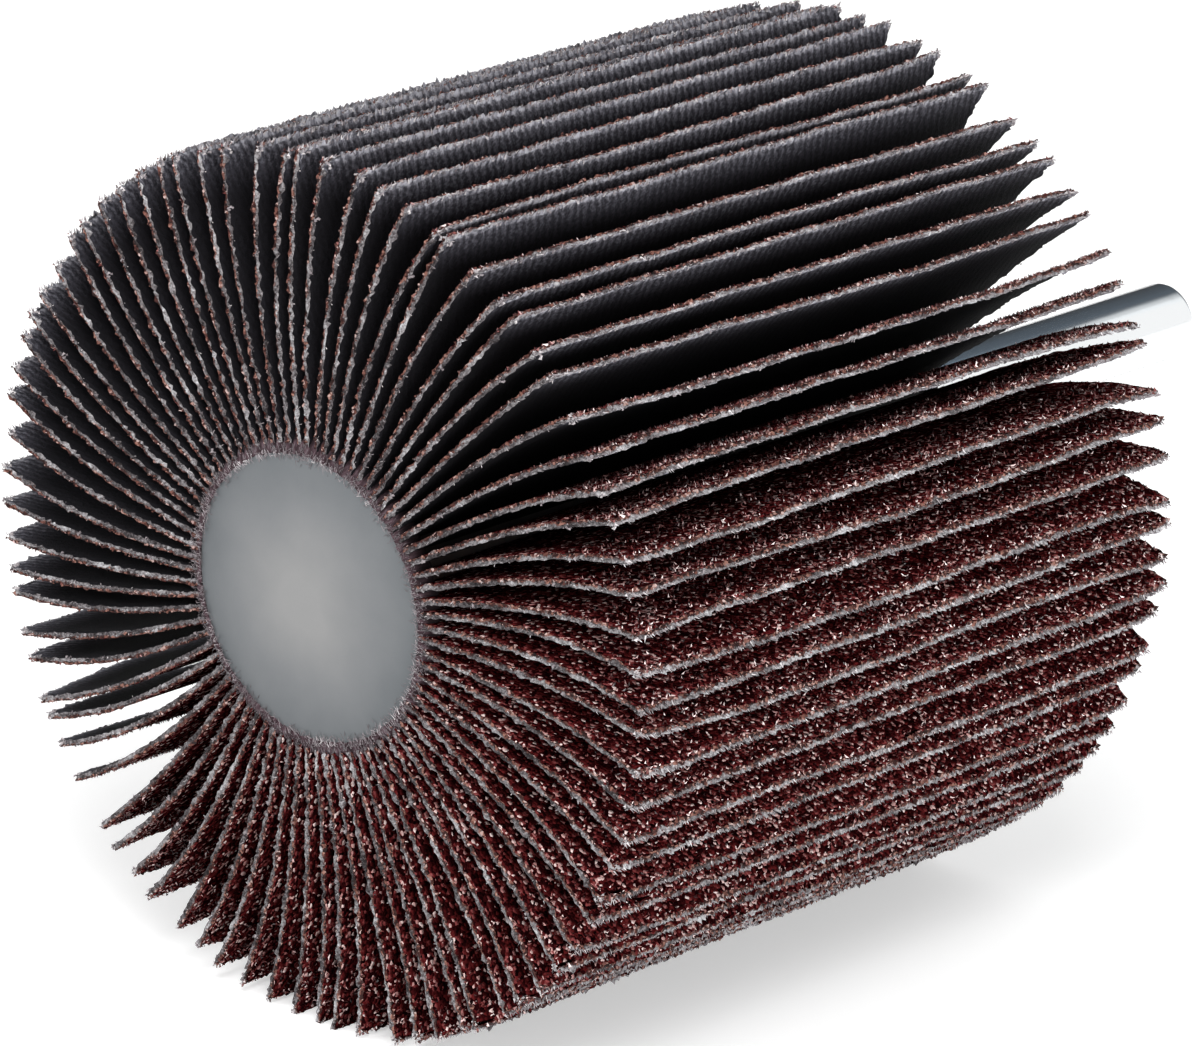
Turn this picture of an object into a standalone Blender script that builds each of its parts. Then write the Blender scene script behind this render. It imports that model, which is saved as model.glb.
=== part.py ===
"""Spindle-mounted flap wheel, lying on its side with its axis along Y.

The front face looks along -Y and the shank points along +Y. The origin is on the
surface that the wheel lies on, under the middle of its bounding box. Metres, +Z up.
"""
import math
import random

import bmesh
import bpy
from mathutils import Vector

# Flap pack: cloth leaves that stand round a resin core
WHEEL_DIAMETER = 0.0630
FLAP_WIDTH = 0.0534
FLAP_COUNT = 80
FLAP_THICKNESS = 0.00066
ROOT_GAP = 0.00024
FIRST_FLAP_ANGLE = math.radians(-1.15)
FLAP_SWEEP = math.radians(3.4)
BEND_POWER = 1.9
BEND_STATIONS = 7
FLAP_BOW = 0.00030
WANDER_SHARE = 0.32
REST_FLAT_DEPTH = 0.00040

# Where a run of flaps is swept back and leaves a gap: root angle, extra sweep of the last
GATHERS = (
    (math.radians(104), math.radians(3.0)),
    (math.radians(228), math.radians(4.3)),
)
GATHER_FADE = math.radians(10)

# End discs: pressed covers let into both ends of the core, their crowns a little proud
RIM_INSET = 0.00070
DISC_THICKNESS = 0.00090
DOME_HEIGHT = 0.00045
DISC_EDGE_RADIUS = 0.00020
DISC_PROUD = 0.00040

# Spindle: a round shank with a knurled head set in the core
SHANK_DIAMETER = 0.0060
SHANK_FREE_LENGTH = 0.0383
SHANK_END_RADIUS = 0.00060
KNURL_LENGTH = 0.0200
KNURL_HEIGHT = 0.00025
KNURL_TEETH = 36

CLEARANCE = 0.0003
ROUND_STEPS = 48
ARC_STEPS = 4
MERGE_DISTANCE = 0.000001

# Sizes worked out from those above
wheel_radius = WHEEL_DIAMETER / 2
core_radius = FLAP_COUNT * (FLAP_THICKNESS + ROOT_GAP) / (2 * math.pi)
disc_radius = core_radius - RIM_INSET
shank_radius = SHANK_DIAMETER / 2
knurl_radius = shank_radius + KNURL_HEIGHT
recess_depth = DISC_THICKNESS + DOME_HEIGHT - DISC_PROUD + CLEARANCE
total_length = DISC_PROUD + FLAP_WIDTH + SHANK_FREE_LENGTH
axis_height = wheel_radius - REST_FLAT_DEPTH
front_plane = DISC_PROUD - total_length / 2
rear_plane = front_plane + FLAP_WIDTH
pitch = 2 * math.pi / FLAP_COUNT

for old_object in list(bpy.data.objects):
    bpy.data.objects.remove(old_object, do_unlink=True)

parts = bpy.data.collections.new("flap_wheel")
cutters = bpy.data.collections.new("cutters")
bpy.context.scene.collection.children.link(parts)
bpy.context.scene.collection.children.link(cutters)

axis = bpy.data.objects.new("wheel_axis", None)
axis.location = (0, 0, axis_height)
axis.empty_display_size = wheel_radius
parts.objects.link(axis)


def make_material(name, colour, roughness, metallic):
    """A Principled material with one colour."""
    material = bpy.data.materials.new(name)
    material.use_nodes = True
    shader = material.node_tree.nodes["Principled BSDF"]
    shader.inputs["Base Color"].default_value = (*colour, 1)
    shader.inputs["Roughness"].default_value = roughness
    shader.inputs["Metallic"].default_value = metallic
    return material


def set_on_axis(thing, along, facing_rear):
    """Turn a part's own Z onto the wheel's axis and place it at a point along Y."""
    thing.parent = axis
    thing.location = (0, along, 0)
    thing.rotation_euler = (-math.pi / 2 if facing_rear else math.pi / 2, 0, 0)


def arc(centre_x, centre_z, radius, start, end, steps=ARC_STEPS):
    """Points on an arc in the XZ plane, both ends included; angles from +X towards +Z."""
    points = []
    for step in range(steps + 1):
        angle = start + (end - start) * step / steps
        points.append((centre_x + radius * math.cos(angle), centre_z + radius * math.sin(angle)))
    return points


def turned(name, profile, closed, material):
    """Spin a profile of (radius, height) points, listed down the outer side, round Z."""
    mesh = bpy.data.meshes.new(name)
    shape = bmesh.new()
    corners = [shape.verts.new((radius, 0, height)) for radius, height in profile]
    for first, second in zip(corners, corners[1:]):
        shape.edges.new((first, second))
    if closed:
        shape.edges.new((corners[-1], corners[0]))
    shape.to_mesh(mesh)
    shape.free()
    mesh.materials.append(material)
    thing = bpy.data.objects.new(name, mesh)
    parts.objects.link(thing)
    spin = thing.modifiers.new("turn", "SCREW")
    spin.axis = "Z"
    spin.steps = ROUND_STEPS
    spin.render_steps = ROUND_STEPS
    spin.use_merge_vertices = True
    spin.merge_threshold = MERGE_DISTANCE
    return thing


def flat_outline(name, outlines, thickness, material):
    """A solid plate between closed outlines in the XY plane, made from a 2D curve."""
    curve = bpy.data.curves.new(name, "CURVE")
    curve.dimensions = "2D"
    curve.fill_mode = "BOTH"
    curve.extrude = thickness / 2
    for outline in outlines:
        spline = curve.splines.new("POLY")
        spline.points.add(len(outline) - 1)
        for point, (x, y) in zip(spline.points, outline):
            point.co = (x, y, 0, 1)
        spline.use_cyclic_u = True
    guide = bpy.data.objects.new(name + "_curve", curve)
    parts.objects.link(guide)
    graph = bpy.context.evaluated_depsgraph_get()
    mesh = bpy.data.meshes.new_from_object(guide.evaluated_get(graph))
    shape = bmesh.new()
    shape.from_mesh(mesh)
    bmesh.ops.remove_doubles(shape, verts=shape.verts, dist=MERGE_DISTANCE)
    shape.to_mesh(mesh)
    shape.free()
    mesh.materials.clear()
    mesh.materials.append(material)
    mesh.name = name
    thing = bpy.data.objects.new(name, mesh)
    thing.matrix_world = guide.matrix_world.copy()
    parts.objects.link(thing)
    bpy.data.objects.remove(guide, do_unlink=True)
    return thing


def hide_as_tool(tool):
    """Keep an object for its Boolean only."""
    for collection in list(tool.users_collection):
        collection.objects.unlink(tool)
    cutters.objects.link(tool)
    tool.hide_render = True
    tool.display_type = "WIRE"


def boolean(thing, tool, operation):
    """Cut or join a part with another object."""
    hide_as_tool(tool)
    modifier = thing.modifiers.new(tool.name, "BOOLEAN")
    modifier.operation = operation
    modifier.solver = "EXACT"
    modifier.object = tool


def circle(radius, steps=ROUND_STEPS):
    """Points of a closed round outline."""
    turns = [2 * math.pi * step / steps for step in range(steps)]
    return [(radius * math.cos(turn), radius * math.sin(turn)) for turn in turns]


def root_angle(index):
    """Where a flap stands on the core, counter-clockwise from +X seen from the front."""
    return FIRST_FLAP_ANGLE + index * pitch


def gathered_sweep(root):
    """How far a flap's tip trails its root, more in a run that was pushed together."""
    sweep = FLAP_SWEEP
    for end_angle, extra in GATHERS:
        if root <= end_angle:
            sweep += extra * math.exp((root - end_angle) / GATHER_FADE)
    return sweep


def flap_sweeps():
    """Every flap's sweep, with a stray of its own.

    A tip strays by a share of the free gap beside it, so neighbours never touch.
    """
    sweeps = [gathered_sweep(root_angle(index)) for index in range(FLAP_COUNT)]
    tip_angle = 1.1 * FLAP_THICKNESS / wheel_radius
    free = []
    for index in range(FLAP_COUNT):
        ahead = sweeps[(index + 1) % FLAP_COUNT]
        free.append(pitch - ahead + sweeps[index] - tip_angle)
    rng = random.Random(11)
    strayed = []
    for index, sweep in enumerate(sweeps):
        room = WANDER_SHARE * min(free[index - 1], free[index])
        strayed.append(sweep + room * rng.uniform(-1, 1))
    return strayed


def flap_side_points(root, sweep, bow):
    """The outline of one flap: up its clockwise side, over its tip and down the other.

    The leaf leaves the core square to it and bends clockwise more and more, so its tip
    trails its root by the sweep, and it bows a little the other way at half height. Its
    two tip corners are trued to the wheel's radius.
    """
    reach = wheel_radius - core_radius

    def centre_line(share):
        radius = core_radius + reach * share
        angle = root - sweep * share ** BEND_POWER
        angle += bow * math.sin(math.pi * share) / radius
        return Vector((radius * math.cos(angle), radius * math.sin(angle)))

    clockwise_side = []
    other_side = []
    nudge = 0.01 / BEND_STATIONS
    for station in range(BEND_STATIONS + 1):
        share = station / BEND_STATIONS
        along = centre_line(share + nudge) - centre_line(max(share - nudge, 0))
        across = Vector((-along.y, along.x)).normalized() * FLAP_THICKNESS / 2
        middle = centre_line(share)
        for side, point in ((clockwise_side, middle - across), (other_side, middle + across)):
            if station == BEND_STATIONS:
                point = point.normalized() * wheel_radius
            side.append(tuple(point))
    return clockwise_side + other_side[::-1]


def flap_pack_outline():
    """The whole pack seen from the front: every flap in turn, counter-clockwise."""
    outline = []
    rng = random.Random(23)
    for index, sweep in enumerate(flap_sweeps()):
        outline += flap_side_points(root_angle(index), sweep, FLAP_BOW * rng.random())
    return outline


def knurl_outline():
    """A straight knurl: sharp teeth round the spindle's head."""
    outline = []
    for step in range(2 * KNURL_TEETH):
        radius = knurl_radius if step % 2 else knurl_radius - KNURL_HEIGHT
        angle = math.pi * step / KNURL_TEETH
        outline.append((radius * math.cos(angle), radius * math.sin(angle)))
    return outline


def disc_profile(bore_radius):
    """Half section of an end disc: a low dome on top, a rolled edge and a flat back.

    The height 0 is the crown of the dome, which stands a little past the flaps' edges.
    """
    dome_radius = (disc_radius ** 2 + DOME_HEIGHT ** 2) / (2 * DOME_HEIGHT)
    edge_angle = math.asin((disc_radius - DISC_EDGE_RADIUS) / dome_radius)
    start_angle = math.asin(bore_radius / dome_radius)
    dome = arc(0, -dome_radius, dome_radius, math.pi / 2 - start_angle, math.pi / 2 - edge_angle, 6)
    edge_x = disc_radius - DISC_EDGE_RADIUS
    edge_z = dome[-1][1] - DISC_EDGE_RADIUS
    rolled = arc(edge_x, edge_z, DISC_EDGE_RADIUS, math.pi / 2, 0)
    back = -(DISC_THICKNESS + DOME_HEIGHT)
    return dome + rolled[1:] + [(disc_radius, back), (bore_radius, back)]


steel = make_material("bright_steel", (0.72, 0.74, 0.76), 0.18, 1.0)
satin = make_material("satin_disc", (0.33, 0.34, 0.35), 0.55, 0.6)
cloth = make_material("abrasive_cloth", (0.10, 0.035, 0.03), 0.85, 0.0)


def make_flap_pack():
    """The resin core with all its flaps, lying on a small flat where the tips give."""
    bore = circle(knurl_radius + CLEARANCE)
    pack = flat_outline("flap_pack", [flap_pack_outline(), bore], FLAP_WIDTH, cloth)
    set_on_axis(pack, front_plane + FLAP_WIDTH / 2, facing_rear=False)
    recess_radius = disc_radius + CLEARANCE
    for name, plane in (("front_recess", front_plane), ("rear_recess", rear_plane)):
        bpy.ops.mesh.primitive_cylinder_add(
            vertices=ROUND_STEPS, radius=recess_radius, depth=2 * recess_depth)
        recess = bpy.context.object
        recess.name = name
        set_on_axis(recess, plane, facing_rear=False)
        boolean(pack, recess, "DIFFERENCE")
    bpy.ops.mesh.primitive_cube_add(size=1)
    ground = bpy.context.object
    ground.name = "ground"
    ground.dimensions = (WHEEL_DIAMETER, 2 * FLAP_WIDTH, WHEEL_DIAMETER)
    ground.location = (0, front_plane + FLAP_WIDTH / 2, -WHEEL_DIAMETER / 2)
    boolean(pack, ground, "DIFFERENCE")
    return pack


def make_front_disc():
    disc = turned("front_disc", disc_profile(0), False, satin)
    set_on_axis(disc, front_plane - DISC_PROUD, facing_rear=False)
    return disc


def make_rear_disc():
    disc = turned("rear_disc", disc_profile(shank_radius + CLEARANCE), True, satin)
    set_on_axis(disc, rear_plane + DISC_PROUD, facing_rear=True)
    return disc


def make_spindle():
    """A turned shank with a rounded end, joined to its knurled head."""
    head_plane = front_plane + recess_depth
    length = FLAP_WIDTH - recess_depth + SHANK_FREE_LENGTH
    end = arc(shank_radius - SHANK_END_RADIUS, length - SHANK_END_RADIUS, SHANK_END_RADIUS,
              math.pi / 2, 0)
    profile = [(0, length)] + end + [(shank_radius, 0), (0, 0)]
    spindle = turned("spindle", profile, False, steel)
    set_on_axis(spindle, head_plane, facing_rear=True)
    knurl = flat_outline("knurl", [knurl_outline()], KNURL_LENGTH, steel)
    set_on_axis(knurl, head_plane + SHANK_END_RADIUS + KNURL_LENGTH / 2, facing_rear=True)
    boolean(spindle, knurl, "UNION")
    return spindle


def smooth_round_sides(thing):
    """Turn a round part's modifiers into its mesh, shaded smooth with sharp corners."""
    graph = bpy.context.evaluated_depsgraph_get()
    mesh = bpy.data.meshes.new_from_object(thing.evaluated_get(graph))
    thing.modifiers.clear()
    thing.data = mesh
    mesh.name = thing.name
    mesh.shade_smooth()
    mesh.set_sharp_from_angle(angle=math.radians(35))


make_flap_pack()
for round_part in (make_front_disc(), make_rear_disc(), make_spindle()):
    smooth_round_sides(round_part)
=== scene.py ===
# %% [markdown]
# A flap wheel is a drum of abrasive cloth leaves on a steel spindle. The solid model that
# this script loads has every piece at its real size. What it lacks is the surface: torn
# cloth, grit, resin and polished steel. So the spindle and the end discs keep the form of
# their solids and get finishes, while the pack of leaves is modelled again, leaf by leaf,
# inside the space that its solid holds.

# %% Load the solid model as a fixed frame
import math
import random

import bmesh
import bpy
import numpy as np
from mathutils import Euler, Matrix, Vector, noise


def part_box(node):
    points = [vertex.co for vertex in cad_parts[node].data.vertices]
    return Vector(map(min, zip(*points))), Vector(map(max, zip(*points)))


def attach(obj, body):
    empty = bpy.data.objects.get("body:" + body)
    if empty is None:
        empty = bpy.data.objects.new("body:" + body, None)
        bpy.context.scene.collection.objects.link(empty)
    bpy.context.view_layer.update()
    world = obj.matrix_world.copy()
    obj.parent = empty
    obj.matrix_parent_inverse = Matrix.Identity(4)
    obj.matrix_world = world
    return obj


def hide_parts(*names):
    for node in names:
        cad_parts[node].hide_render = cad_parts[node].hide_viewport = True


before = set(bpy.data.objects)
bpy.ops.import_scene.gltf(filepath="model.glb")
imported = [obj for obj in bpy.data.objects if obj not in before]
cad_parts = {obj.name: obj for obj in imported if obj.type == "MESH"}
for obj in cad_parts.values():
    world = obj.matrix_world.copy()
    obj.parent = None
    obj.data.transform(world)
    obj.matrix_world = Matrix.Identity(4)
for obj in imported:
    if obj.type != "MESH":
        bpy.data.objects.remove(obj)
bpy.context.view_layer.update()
MM = 0.001
CORE_RADIUS = 11.46 * MM
pack_low, pack_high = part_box("flap_pack")
disc_low, disc_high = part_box("front_disc")
front_plane, rear_plane = pack_low.y, pack_high.y
flap_width = rear_plane - front_plane
axis_height = (disc_low.z + disc_high.z) / 2
wheel_radius = pack_high.z - axis_height
disc_radius = (disc_high.z - disc_low.z) / 2
reach = wheel_radius - CORE_RADIUS
print(f"wheel {2 * wheel_radius / MM:.1f} mm across, leaves {flap_width / MM:.1f} mm wide")

# %% [markdown]
# The photograph was taken from the front right and a little above, with a long lens. A
# camera can be set by eye, but this one's place was worked out from the outline of the
# leaf tips: both faces show as circles in perspective, and only one direction and distance
# fit both. The front face's centre is given as the camera sees it, to the right, up and
# away, in wheel radii, so the view stays right if the size changes.

# %% Camera
PHOTO_WIDTH = 1195
FOCAL_PIXELS = 6447
SENSOR_WIDTH = 36
VIEW_AZIMUTH = math.radians(44.16)
VIEW_ELEVATION = math.radians(18.51)
FACE_RIGHT, FACE_UP, FACE_AWAY = -0.6266, -0.1624, 13.9003


def new_object(name, data):
    """A new object in the scene, at the origin."""
    thing = bpy.data.objects.new(name, data)
    bpy.context.scene.collection.objects.link(thing)
    return thing


view_right = Vector((math.cos(VIEW_AZIMUTH), math.sin(VIEW_AZIMUTH), 0))
view_forward = Vector((-math.sin(VIEW_AZIMUTH) * math.cos(VIEW_ELEVATION),
                       math.cos(VIEW_AZIMUTH) * math.cos(VIEW_ELEVATION),
                       -math.sin(VIEW_ELEVATION)))
view_up = view_right.cross(view_forward)
face_centre = Vector((0, front_plane, axis_height))
offset = FACE_RIGHT * view_right + FACE_UP * view_up + FACE_AWAY * view_forward
camera_data = bpy.data.cameras.new("camera")
camera_data.sensor_width = SENSOR_WIDTH
camera_data.lens = SENSOR_WIDTH * FOCAL_PIXELS / PHOTO_WIDTH
camera = new_object("camera", camera_data)
camera.matrix_world = Matrix.Translation(face_centre - wheel_radius * offset) @ Matrix(
    (view_right, view_up, -view_forward)).transposed().to_4x4()
bpy.context.scene.camera = camera
bpy.context.scene.view_settings.view_transform = "Standard"
print(f"lens {camera_data.lens:.0f} mm, {camera.location.length:.2f} m away")

# %% [markdown]
# Every material below is a small graph of nodes. It could be clicked together in the
# editor, but here one function adds a node with its settings and inputs, so a graph reads
# as a list of steps. Colours are picked as web hex values, made for a screen, and one
# function turns them into the linear light that the renderer works with.

# %% Helpers for materials
def linear(hex_colour):
    """A web colour as linear red, green, blue and alpha."""
    channels = []
    for start in (1, 3, 5):
        value = int(hex_colour[start:start + 2], 16) / 255
        channels.append(value / 12.92 if value <= 0.04045 else ((value + 0.055) / 1.055) ** 2.4)
    return (*channels, 1.0)


def feed(node, inputs):
    """Fill a node's inputs: a socket of another node is linked, any other value is set."""
    for name, value in inputs.items():
        if isinstance(value, bpy.types.NodeSocket):
            node.id_data.links.new(value, node.inputs[name])
        else:
            node.inputs[name].default_value = value


def add_node(tree, kind, inputs=None, stops=(), **settings):
    """Add a node with its settings and inputs; stops are the colours of a ramp."""
    node = tree.nodes.new(kind)
    for name, value in settings.items():
        setattr(node, name, value)
    feed(node, inputs or {})
    for number, (position, hex_colour) in enumerate(stops):
        points = node.color_ramp.elements
        point = points[number] if number < len(points) else points.new(position)
        point.position = position
        point.color = linear(hex_colour)
    return node


def new_material(name):
    """A material, its node tree and its shader."""
    material = bpy.data.materials.new(name)
    material.use_nodes = True
    return material, material.node_tree, material.node_tree.nodes["Principled BSDF"]


# %% [markdown]
# The studio is plain: a pale paper floor that runs out past the picture and a white
# surround. More light could whiten them, but it would bleach the wheel. So the camera and
# mirror-like metal see the surround at full white, while the light that it throws on the
# wheel is weaker, and the lamps give the leaves their shape.

# %% Floor and surround
FLOOR_SIZE = 3.0
FLOOR_GLOW = 0.40
SURROUND_LIGHT = 0.6


def mesh_from(shape, name):
    """Turn a finished bmesh into a mesh and free it."""
    mesh = bpy.data.meshes.new(name)
    shape.to_mesh(mesh)
    shape.free()
    return mesh


def seen_directly(tree):
    """A socket that is 1 for what the camera, a reflection or clear glass looks at."""
    path = add_node(tree, "ShaderNodeLightPath")
    seen = add_node(tree, "ShaderNodeMath",
                    {0: path.outputs["Is Camera Ray"], 1: path.outputs["Is Glossy Ray"]},
                    operation="MAXIMUM")
    return add_node(tree, "ShaderNodeMath",
                    {0: seen.outputs[0], 1: path.outputs["Is Transmission Ray"]},
                    operation="MAXIMUM").outputs[0]


world = bpy.data.worlds.new("white_surround")
world.use_nodes = True
bpy.context.scene.world = world
level = add_node(world.node_tree, "ShaderNodeMapRange",
                 {"Value": seen_directly(world.node_tree), "To Min": SURROUND_LIGHT, "To Max": 1.0})
feed(world.node_tree.nodes["Background"],
     {"Color": linear("#ffffff"), "Strength": level.outputs[0]})

paper, tree, shader = new_material("matt_white_paper_sweep")
glow = add_node(tree, "ShaderNodeMath", {0: seen_directly(tree), 1: FLOOR_GLOW},
                operation="MULTIPLY")
feed(shader, {"Base Color": linear("#e2e2e2"), "Roughness": 1.0,
              "Emission Color": linear("#ffffff"), "Emission Strength": glow.outputs[0]})
floor_shape = bmesh.new()
bmesh.ops.create_grid(floor_shape, x_segments=1, y_segments=1, size=FLOOR_SIZE / 2)
floor = new_object("floor", mesh_from(floor_shape, "floor"))
floor.data.materials.append(paper)
print(f"floor {FLOOR_SIZE} m wide")

# %% [markdown]
# One lamp could light the wheel, but it would reach into few of the narrow gaps between
# the leaves. So one soft lamp stands above, one low on the right and one in front, up on
# the left.

# %% Lamps
def soft_lamp(name, place, size, watts):
    """A square lamp at a place, turned to the middle of the wheel."""
    lamp_data = bpy.data.lights.new(name, "AREA")
    lamp_data.shape = "SQUARE"
    lamp_data.size = size
    lamp_data.energy = watts
    lamp = new_object(name, lamp_data)
    aim = Vector((0, 0, axis_height)) - Vector(place)
    turn = aim.to_track_quat("-Z", "Y").to_matrix().to_4x4()
    lamp.matrix_world = Matrix.Translation(place) @ turn
    print(f"{name}: {watts} W, {aim.length:.2f} m away")


soft_lamp("key_lamp", place=(0.38, -0.44, 0.73), size=0.4, watts=4.3)
soft_lamp("side_lamp", place=(0.85, -0.36, 0.12), size=0.5, watts=8.2)
soft_lamp("front_lamp", place=(-0.55, -0.78, 0.48), size=0.4, watts=4.2)

# %% [markdown]
# A mirror has no colour of its own, so in an all-white room a bright shank would vanish.
# It could be painted darker, but photographers stand dark cards where metal reflects
# them: here one behind the wheel and one at each side. They pale upwards in clouds and,
# along their UV map, fade to white at one end, so that a reflection's edge is soft. Only
# reflections see them, so they throw no shade on the leaves.

# %% Dark cards for the metal to reflect
CARD_CLOUD = 0.12
FADE_START, FADE_END = 0.97, 1.12
REAR_CARD_SIZE, REAR_CARD_PLACE = (1.5, 1.1), (-0.64, 0.6, 0.5)
SIDE_CARD_SIZE, SIDE_CARD_AWAY, SIDE_CARD_PLACE = (0.7, 1.3), 0.95, (0.15, 0.9)


def clouded_card():
    """Black board that glows a clouded blue-grey, so that no lamp changes its tone."""
    material, tree, shader = new_material("blue_grey_card")
    place = add_node(tree, "ShaderNodeTexCoord")
    rise = add_node(tree, "ShaderNodeSeparateXYZ", {0: place.outputs["Object"]})
    cloud = add_node(tree, "ShaderNodeTexNoise",
                     {"Vector": place.outputs["Object"], "Scale": 1 / CARD_CLOUD, "Detail": 4.0})
    paler = add_node(tree, "ShaderNodeMath",
                     {0: cloud.outputs["Fac"], 1: 0.5, 2: rise.outputs["Z"]},
                     operation="MULTIPLY_ADD")
    ramp = add_node(tree, "ShaderNodeValToRGB", {"Fac": paler.outputs[0]},
                    stops=[(0.35, "#20262c"), (0.72, "#33414e"), (0.83, "#4f6a80"),
                           (0.93, "#a3b9c8")])
    across = add_node(tree, "ShaderNodeSeparateXYZ", {0: place.outputs["UV"]})
    ragged = add_node(tree, "ShaderNodeMath",
                      {0: cloud.outputs["Fac"], 1: 0.25, 2: across.outputs["X"]},
                      operation="MULTIPLY_ADD")
    fade = add_node(tree, "ShaderNodeMapRange",
                    {"Value": ragged.outputs[0], "From Min": FADE_START, "From Max": FADE_END})
    faded = add_node(tree, "ShaderNodeMix",
                     {0: fade.outputs[0], 6: ramp.outputs[0], 7: linear("#f6f9fb")},
                     data_type="RGBA")
    feed(shader, {"Base Color": linear("#000000"), "Emission Color": faded.outputs[2],
                  "Emission Strength": 1.0})
    return material


def dark_card(name, size, heading, place):
    """An upright card, turned by its heading, that only reflections see."""
    shape = bmesh.new()
    shape.loops.layers.uv.new("card")
    bmesh.ops.create_grid(shape, x_segments=1, y_segments=1, size=0.5, calc_uvs=True)
    bmesh.ops.scale(shape, vec=(*size, 1), verts=shape.verts)
    upright = Matrix.Rotation(heading, 3, "Z") @ Matrix.Rotation(math.pi / 2, 3, "X")
    bmesh.ops.rotate(shape, matrix=upright, verts=shape.verts)
    bmesh.ops.translate(shape, vec=place, verts=shape.verts)
    card = new_object(name, mesh_from(shape, name))
    card.data.materials.append(card_finish)
    card.visible_camera = False
    card.visible_diffuse = False
    card.visible_transmission = False
    card.visible_shadow = False
    print(f"{name}: {size[0]} by {size[1]} m")


card_finish = clouded_card()
dark_card("rear_card", REAR_CARD_SIZE, 0, REAR_CARD_PLACE)
for name, side in (("left_card", -1), ("right_card", 1)):
    dark_card(name, SIDE_CARD_SIZE, math.pi / 2, (side * SIDE_CARD_AWAY, *SIDE_CARD_PLACE))

# %% [markdown]
# The leaves are cut from coated abrasive: a dyed cotton twill, stiffened with resin, with
# brown aluminium oxide grit bonded to one side. Its back shows the ribs of the twill,
# nearly black in the dye and grey where handling has raised a nap. It is painted paler
# towards the tips, partly for that nap and partly as painted light, for the tips catch
# light that the deep gaps miss. A pattern on Object coordinates would cut straight through
# a bent leaf. So the ribs are drawn on the leaf's own UV map, laid out in millimetres: U
# across the wheel's width, V out from the core.

# %% Backing cloth
RIB_SPACING_MM = 0.62
RIB_SLANT = math.radians(-26)
THREAD_MM = 0.18
RIB_HEIGHT, WOOL_HEIGHT = 0.33, 1.6
# How far in from the tip the cloth is painted paler: part nap, part painted light on the tips.
NAP_AND_TIP_LIGHT_DEPTH_MM = 3.6
FRINGE_AND_TIP_LIGHT_DEPTH_MM = 0.6
TIP_MM = reach / MM


def wave_scale(period):
    """The Wave texture's scale that repeats its bands once in each period."""
    return 2 * math.pi / 20 / period


def near_tip(tree, start_mm, low, high, end_mm=0.0):
    """A socket that goes from low to high between two distances from a leaf's tip."""
    flat = add_node(tree, "ShaderNodeUVMap", uv_map="leaf_mm")
    out = add_node(tree, "ShaderNodeSeparateXYZ", {0: flat.outputs[0]})
    return add_node(tree, "ShaderNodeMapRange",
                    {"Value": out.outputs["Y"], "From Min": TIP_MM - start_mm,
                     "From Max": TIP_MM - end_mm, "To Min": low, "To Max": high}).outputs[0]


def twill_cloth():
    """Dyed, sized cotton: nearly black and matt, with a grey nap on its slanted ribs, and painted
    light that pales it near the tips.
    """
    material, tree, shader = new_material("sized_cotton_twill_backing")
    place = add_node(tree, "ShaderNodeUVMap", uv_map="leaf_mm")
    turned = add_node(tree, "ShaderNodeMapping",
                      {"Vector": place.outputs[0], "Rotation": (0, 0, RIB_SLANT)})
    ribs = add_node(tree, "ShaderNodeTexWave",
                    {"Vector": turned.outputs[0], "Scale": wave_scale(RIB_SPACING_MM),
                     "Distortion": 6.0, "Detail": 5.0, "Detail Scale": 2.2,
                     "Detail Roughness": 0.7})
    drawn_out = add_node(tree, "ShaderNodeMapping",
                         {"Vector": turned.outputs[0], "Scale": (1, 0.5, 1)})
    threads = add_node(tree, "ShaderNodeTexNoise",
                       {"Vector": drawn_out.outputs[0], "Scale": 1 / THREAD_MM, "Detail": 4.0,
                        "Roughness": 0.75})
    patches = add_node(tree, "ShaderNodeTexNoise",
                       {"Vector": place.outputs[0], "Scale": 0.3, "Detail": 3.0})
    wool = add_node(tree, "ShaderNodeMath", {0: threads.outputs["Fac"], 1: WOOL_HEIGHT},
                    operation="MULTIPLY")
    height = add_node(tree, "ShaderNodeMath",
                      {0: ribs.outputs["Fac"], 1: RIB_HEIGHT, 2: wool.outputs[0]},
                      operation="MULTIPLY_ADD")
    # Paler towards the tips: partly a raised nap, partly painted light, as the tips catch light
    # that the deep gaps miss.
    nap_and_tip_light = near_tip(tree, NAP_AND_TIP_LIGHT_DEPTH_MM, 0.26, 1.0)
    fringe_and_tip_light = near_tip(tree, FRINGE_AND_TIP_LIGHT_DEPTH_MM, 0.2, 0.75)
    nap_and_lit_ribs = add_node(tree, "ShaderNodeMath", {0: height.outputs[0], 1: nap_and_tip_light},
                      operation="MULTIPLY")
    tone = add_node(tree, "ShaderNodeMath",
                    {0: patches.outputs["Fac"], 1: fringe_and_tip_light, 2: nap_and_lit_ribs.outputs[0]},
                    operation="MULTIPLY_ADD")
    spread = add_node(tree, "ShaderNodeMapRange", {"Value": tone.outputs[0], "From Max": 1.5})
    ramp = add_node(tree, "ShaderNodeValToRGB", {"Fac": spread.outputs[0]},
                    stops=[(0.1, "#0c0b0d"), (0.3, "#1c1b1f"), (0.5, "#333238"),
                           (0.72, "#605f67"), (1.0, "#aeadb5")])
    bump = add_node(tree, "ShaderNodeBump",
                    {"Height": height.outputs[0], "Strength": 0.8, "Distance": 0.2 * MM})
    feed(shader, {"Base Color": ramp.outputs[0], "Normal": bump.outputs[0],
                  "Roughness": 0.85, "Specular IOR Level": 0.08})
    return material


print(f"about {flap_width / MM / RIB_SPACING_MM:.0f} ribs on a leaf")

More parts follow.
